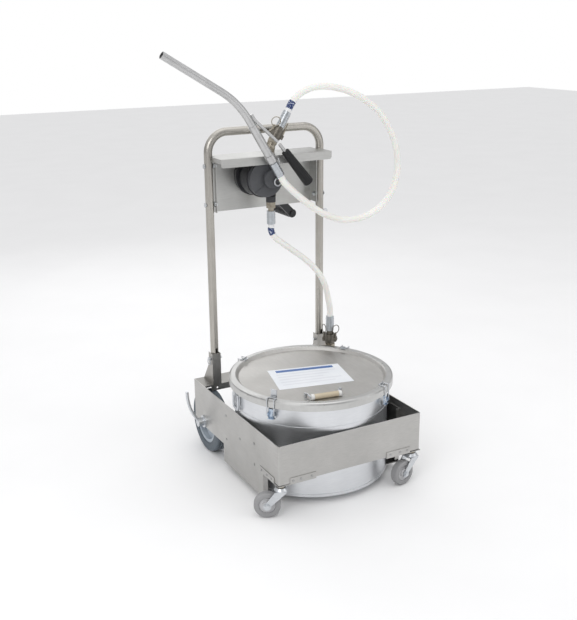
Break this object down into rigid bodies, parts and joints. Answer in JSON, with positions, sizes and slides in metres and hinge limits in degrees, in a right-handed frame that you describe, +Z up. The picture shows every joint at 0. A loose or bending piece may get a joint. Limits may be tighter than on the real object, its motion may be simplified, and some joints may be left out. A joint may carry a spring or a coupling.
{
  "type": "frying oil transport trolley",
  "caption": "Low stainless cart carrying a lidded drum for used frying oil, with a hand-cranked pump on its push handle, a suction hose and a discharge hose with a pouring wand.",
  "frame": {"origin": "on the floor, under the centre of the box that holds everything but the hoses", "axes": "+Z up, +Y from the front plate to the push handle, +X to the right seen from the front plate"},
  "size_m": [0.8221, 0.6935, 1.2603],
  "materials": {
    "stainless_sheet": "brushed",
    "stainless_tube": "brushed",
    "zinc": "bright zinc plate",
    "pump_black": "satin black paint",
    "pump_cover_grey": "matte charcoal",
    "shaft_steel": "ground",
    "bronze": "aged nickel bronze",
    "drum_metal": "satin",
    "lid_metal": "rolled, satin",
    "gasket_rubber": "matte",
    "handle_barrel": "ribbed",
    "hose_white": "smooth",
    "tyre_rubber": "matte",
    "rim_plastic": "moulded",
    "caster_tread": "moulded",
    "black_grip": "ribbed",
    "wand_metal": "satin"
  },
  "bodies": {
    "cart": {"cart_wrap": "stainless_sheet", "corner_brackets": "stainless_sheet", "drum_cradle": "stainless_sheet", "rear_channel": "stainless_sheet", "rear_axle": "zinc", "axle_end_caps": "zinc", "axle_hooks": "zinc", "leg_brackets": "stainless_sheet", "frame_rivets": "zinc", "handle_tube": "stainless_tube", "pump_panel": "stainless_sheet", "panel_bolts": "zinc", "pump_body": "pump_black", "pump_cover": "pump_cover_grey", "outlet_pipe": "bronze", "pump_inlet": "bronze", "cam_adapters": "bronze", "cam_couplers": "bronze", "hose_ferrules": "zinc", "caster_stems": "bronze", "drum_shell": "drum_metal", "drum_ears": "zinc", "latch_bases": "zinc", "riser_pipe": "stainless_tube", "snap_hook": "zinc", "discharge_hose": "hose_white", "suction_hose": "hose_white"},
    "rear_wheel_left": {"rear_tyre_left": "tyre_rubber", "rear_rim_left": "rim_plastic"},
    "rear_wheel_right": {"rear_tyre_right": "tyre_rubber", "rear_rim_right": "rim_plastic"},
    "caster_left": {"caster_fork_left": "zinc"},
    "caster_roller_left": {"caster_wheel_left": "caster_tread"},
    "caster_right": {"caster_fork_right": "zinc"},
    "caster_roller_right": {"caster_wheel_right": "caster_tread"},
    "lid": {"lid": "lid_metal", "lid_gasket": "gasket_rubber", "lid_fittings": "zinc"},
    "lid_handle": {"lid_handle": "handle_barrel"},
    "lever_rear_right": {"latch_lever_rear_right": "zinc"},
    "bail_rear_right": {"latch_bail_rear_right": "zinc"},
    "lever_rear_left": {"latch_lever_rear_left": "zinc"},
    "bail_rear_left": {"latch_bail_rear_left": "zinc"},
    "lever_front_left": {"latch_lever_front_left": "zinc"},
    "bail_front_left": {"latch_bail_front_left": "zinc"},
    "lever_front_right": {"latch_lever_front_right": "zinc"},
    "bail_front_right": {"latch_bail_front_right": "zinc"},
    "ring_left": {"drum_ring_left": "zinc"},
    "ring_right": {"drum_ring_right": "zinc"},
    "crank": {"pump_rotor": "shaft_steel", "crank_arm": "pump_black"},
    "crank_grip": {"crank_grip": "black_grip"},
    "wand": {"wand_tube": "wand_metal", "wand_grip": "black_grip"},
    "pin_left": {"handle_pin_left": "zinc"},
    "pin_right": {"handle_pin_right": "zinc"},
    "arm_outlet_left": {"cam_arm_outlet_left": "bronze"},
    "arm_outlet_right": {"cam_arm_outlet_right": "bronze"},
    "arm_suction_left": {"cam_arm_suction_left": "bronze"},
    "arm_suction_right": {"cam_arm_suction_right": "bronze"}
  },
  "joints": [
    {"name": "rear_wheel_left_spin", "type": "hinge", "parent": "cart", "child": "rear_wheel_left", "pos_m": [-0.1753, 0.1807, 0.101], "axis": [1, 0, 0], "continuous": true},
    {"name": "rear_wheel_right_spin", "type": "hinge", "parent": "cart", "child": "rear_wheel_right", "pos_m": [0.2507, 0.1807, 0.101], "axis": [1, 0, 0], "continuous": true},
    {"name": "caster_left_swivel", "type": "hinge", "parent": "cart", "child": "caster_left", "pos_m": [-0.1853, -0.3153, 0.085], "axis": [0, 0, 1], "continuous": true},
    {"name": "caster_left_spin", "type": "hinge", "parent": "caster_left", "child": "caster_roller_left", "pos_m": [-0.21974, -0.29699, 0.0381], "axis": [-0.4695, -0.8829, 0], "continuous": true},
    {"name": "caster_right_swivel", "type": "hinge", "parent": "cart", "child": "caster_right", "pos_m": [0.2607, -0.3153, 0.085], "axis": [0, 0, 1], "continuous": true},
    {"name": "caster_right_spin", "type": "hinge", "parent": "caster_right", "child": "caster_roller_right", "pos_m": [0.22255, -0.32341, 0.0381], "axis": [0.2079, -0.9781, 0], "continuous": true},
    {"name": "lid_lift", "type": "slide", "parent": "cart", "child": "lid", "axis": [0, 0, 1], "range_m": [0, 0.25]},
    {"name": "lid_handle_swing", "type": "hinge", "parent": "lid", "child": "lid_handle", "pos_m": [-0.00923, -0.24762, 0.3183], "axis": [-0.9877, 0.1564, 0], "range_deg": [0, 100]},
    {"name": "lever_rear_right_open", "type": "hinge", "parent": "cart", "child": "lever_rear_right", "pos_m": [0.23814, 0.03487, 0.288], "axis": [0.5446, -0.8387, 0], "range_deg": [0, 110]},
    {"name": "bail_rear_right_open", "type": "hinge", "parent": "lever_rear_right", "child": "bail_rear_right", "pos_m": [0.24779, 0.04113, 0.277], "axis": [-0.5446, 0.8387, 0], "range_deg": [0, 285]},
    {"name": "lever_rear_left_open", "type": "hinge", "parent": "cart", "child": "lever_rear_left", "pos_m": [-0.09247, 0.10514, 0.288], "axis": [0.8387, 0.5446, 0], "range_deg": [0, 110]},
    {"name": "bail_rear_left_open", "type": "hinge", "parent": "lever_rear_left", "child": "bail_rear_left", "pos_m": [-0.09873, 0.11479, 0.277], "axis": [-0.8387, -0.5446, 0], "range_deg": [0, 285]},
    {"name": "lever_front_left_open", "type": "hinge", "parent": "cart", "child": "lever_front_left", "pos_m": [-0.16274, -0.22547, 0.288], "axis": [-0.5446, 0.8387, 0], "range_deg": [0, 110]},
    {"name": "bail_front_left_open", "type": "hinge", "parent": "lever_front_left", "child": "bail_front_left", "pos_m": [-0.17239, -0.23173, 0.277], "axis": [0.5446, -0.8387, 0], "range_deg": [0, 285]},
    {"name": "lever_front_right_open", "type": "hinge", "parent": "cart", "child": "lever_front_right", "pos_m": [0.16787, -0.29574, 0.288], "axis": [-0.8387, -0.5446, 0], "range_deg": [0, 110]},
    {"name": "bail_front_right_open", "type": "hinge", "parent": "lever_front_right", "child": "bail_front_right", "pos_m": [0.17413, -0.30539, 0.277], "axis": [0.8387, 0.5446, 0], "range_deg": [0, 285]},
    {"name": "ring_left_swing", "type": "hinge", "parent": "cart", "child": "ring_left", "pos_m": [-0.19996, -0.0619, 0.286], "axis": [0.1392, 0.9903, 0], "range_deg": [0, 100]},
    {"name": "ring_right_swing", "type": "hinge", "parent": "cart", "child": "ring_right", "pos_m": [0.27536, -0.0619, 0.286], "axis": [0.1392, -0.9903, 0], "range_deg": [0, 100]},
    {"name": "crank_turn", "type": "hinge", "parent": "cart", "child": "crank", "pos_m": [0.0187, 0.2367, 0.88], "axis": [0, 1, 0], "continuous": true},
    {"name": "crank_grip_spin", "type": "hinge", "parent": "crank", "child": "crank_grip", "pos_m": [0.15555, 0.2867, 0.73829], "axis": [0, 1, 0], "continuous": true},
    {"name": "wand_swivel", "type": "hinge", "parent": "cart", "child": "wand", "pos_m": [-0.0073, 0.0707, 0.954], "axis": [0.515, 0, -0.8572], "range_deg": [0, 60]},
    {"name": "pin_left_pull", "type": "slide", "parent": "cart", "child": "pin_left", "axis": [-1, 0, 0], "range_m": [0, 0.045]},
    {"name": "pin_right_pull", "type": "slide", "parent": "cart", "child": "pin_right", "axis": [1, 0, 0], "range_m": [0, 0.045]},
    {"name": "arm_outlet_left_open", "type": "hinge", "parent": "cart", "child": "arm_outlet_left", "pos_m": [0.0333, 0.1347, 1.01763], "axis": [0, -1, 0], "range_deg": [0, 100]},
    {"name": "arm_outlet_right_open", "type": "hinge", "parent": "cart", "child": "arm_outlet_right", "pos_m": [0.06536, 0.1347, 0.99837], "axis": [0, 1, 0], "range_deg": [0, 100]},
    {"name": "arm_suction_left_open", "type": "hinge", "parent": "cart", "child": "arm_suction_left", "pos_m": [0.21602, 0.12445, 0.33], "axis": [-0.682, -0.7314, 0], "range_deg": [0, 100]},
    {"name": "arm_suction_right_open", "type": "hinge", "parent": "cart", "child": "arm_suction_right", "pos_m": [0.24338, 0.09895, 0.33], "axis": [0.682, 0.7314, 0], "range_deg": [0, 100]}
  ],
  "couplings": [
    {"joint": "lever_rear_right_open", "follows": "lid_lift", "rad_per_m": 7.6787},
    {"joint": "bail_rear_right_open", "follows": "lid_lift", "rad_per_m": 19.895},
    {"joint": "lever_rear_left_open", "follows": "lid_lift", "rad_per_m": 7.6787},
    {"joint": "bail_rear_left_open", "follows": "lid_lift", "rad_per_m": 19.895},
    {"joint": "lever_front_left_open", "follows": "lid_lift", "rad_per_m": 7.6787},
    {"joint": "bail_front_left_open", "follows": "lid_lift", "rad_per_m": 19.895},
    {"joint": "lever_front_right_open", "follows": "lid_lift", "rad_per_m": 7.6787},
    {"joint": "bail_front_right_open", "follows": "lid_lift", "rad_per_m": 19.895}
  ]
}
